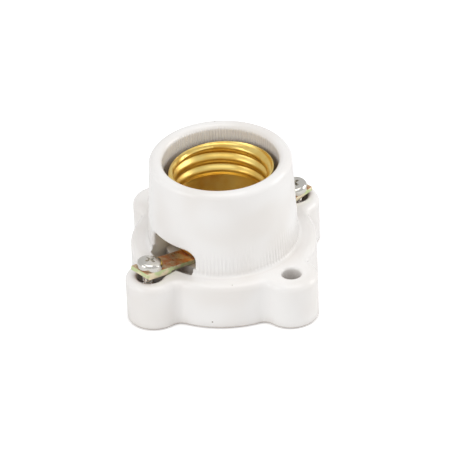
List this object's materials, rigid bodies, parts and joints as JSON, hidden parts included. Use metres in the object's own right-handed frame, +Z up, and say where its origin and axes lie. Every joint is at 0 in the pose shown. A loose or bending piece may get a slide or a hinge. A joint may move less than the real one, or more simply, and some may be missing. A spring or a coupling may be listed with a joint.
{
  "type": "lamp holder",
  "caption": "Surface-mounted porcelain lamp holder with a threaded brass shell, screw terminals on rising strips and a sprung centre contact.",
  "frame": {"origin": "centre of the base's flat underside", "axes": "+X along the line of the two terminals, +Y along the line of the two mounting holes, +Z up the socket's axis, towards the lamp"},
  "size_m": [0.0662, 0.0662, 0.0384],
  "materials": {
    "porcelain": "white glazed porcelain",
    "shell_brass": "bright rolled brass sheet",
    "passivated_steel": "zinc plated steel, passivated yellow",
    "nickel_screw": "bright plated steel",
    "spring_brass": "hard spring brass",
    "zinc_steel": "bright zinc plated steel"
  },
  "bodies": {
    "holder": {"porcelain_body": "porcelain", "threaded_shell": "shell_brass", "shell_terminal_strip": "passivated_steel", "centre_terminal_strip": "passivated_steel", "centre_contact_leaf": "spring_brass", "shell_front_fixing_screw": "zinc_steel", "shell_front_fixing_washer": "zinc_steel", "shell_front_fixing_nut": "zinc_steel", "shell_back_fixing_screw": "zinc_steel", "shell_back_fixing_washer": "zinc_steel", "shell_back_fixing_nut": "zinc_steel", "shell_strip_fixing_screw": "zinc_steel", "shell_strip_fixing_washer": "zinc_steel", "shell_strip_fixing_nut": "zinc_steel", "centre_contact_fixing_screw": "zinc_steel", "centre_contact_fixing_washer": "zinc_steel", "centre_contact_fixing_nut": "zinc_steel"},
    "shell_screw": {"shell_terminal_screw": "nickel_screw"},
    "centre_screw": {"centre_terminal_screw": "nickel_screw"},
    "centre_contact": {"centre_contact_nib": "spring_brass"}
  },
  "joints": [
    {"name": "shell_screw_travel", "type": "slide", "parent": "holder", "child": "shell_screw", "axis": [0.1973, 0, 0.9804], "range_m": [0, 0.003]},
    {"name": "centre_screw_travel", "type": "slide", "parent": "holder", "child": "centre_screw", "axis": [-0.1389, 0, 0.9903], "range_m": [0, 0.003]},
    {"name": "centre_contact_press", "type": "slide", "parent": "holder", "child": "centre_contact", "axis": [0, 0, 1], "range_m": [-0.0015, 0], "stiffness_N_per_m": 1500, "deforming": ["centre_contact_leaf"]}
  ]
}
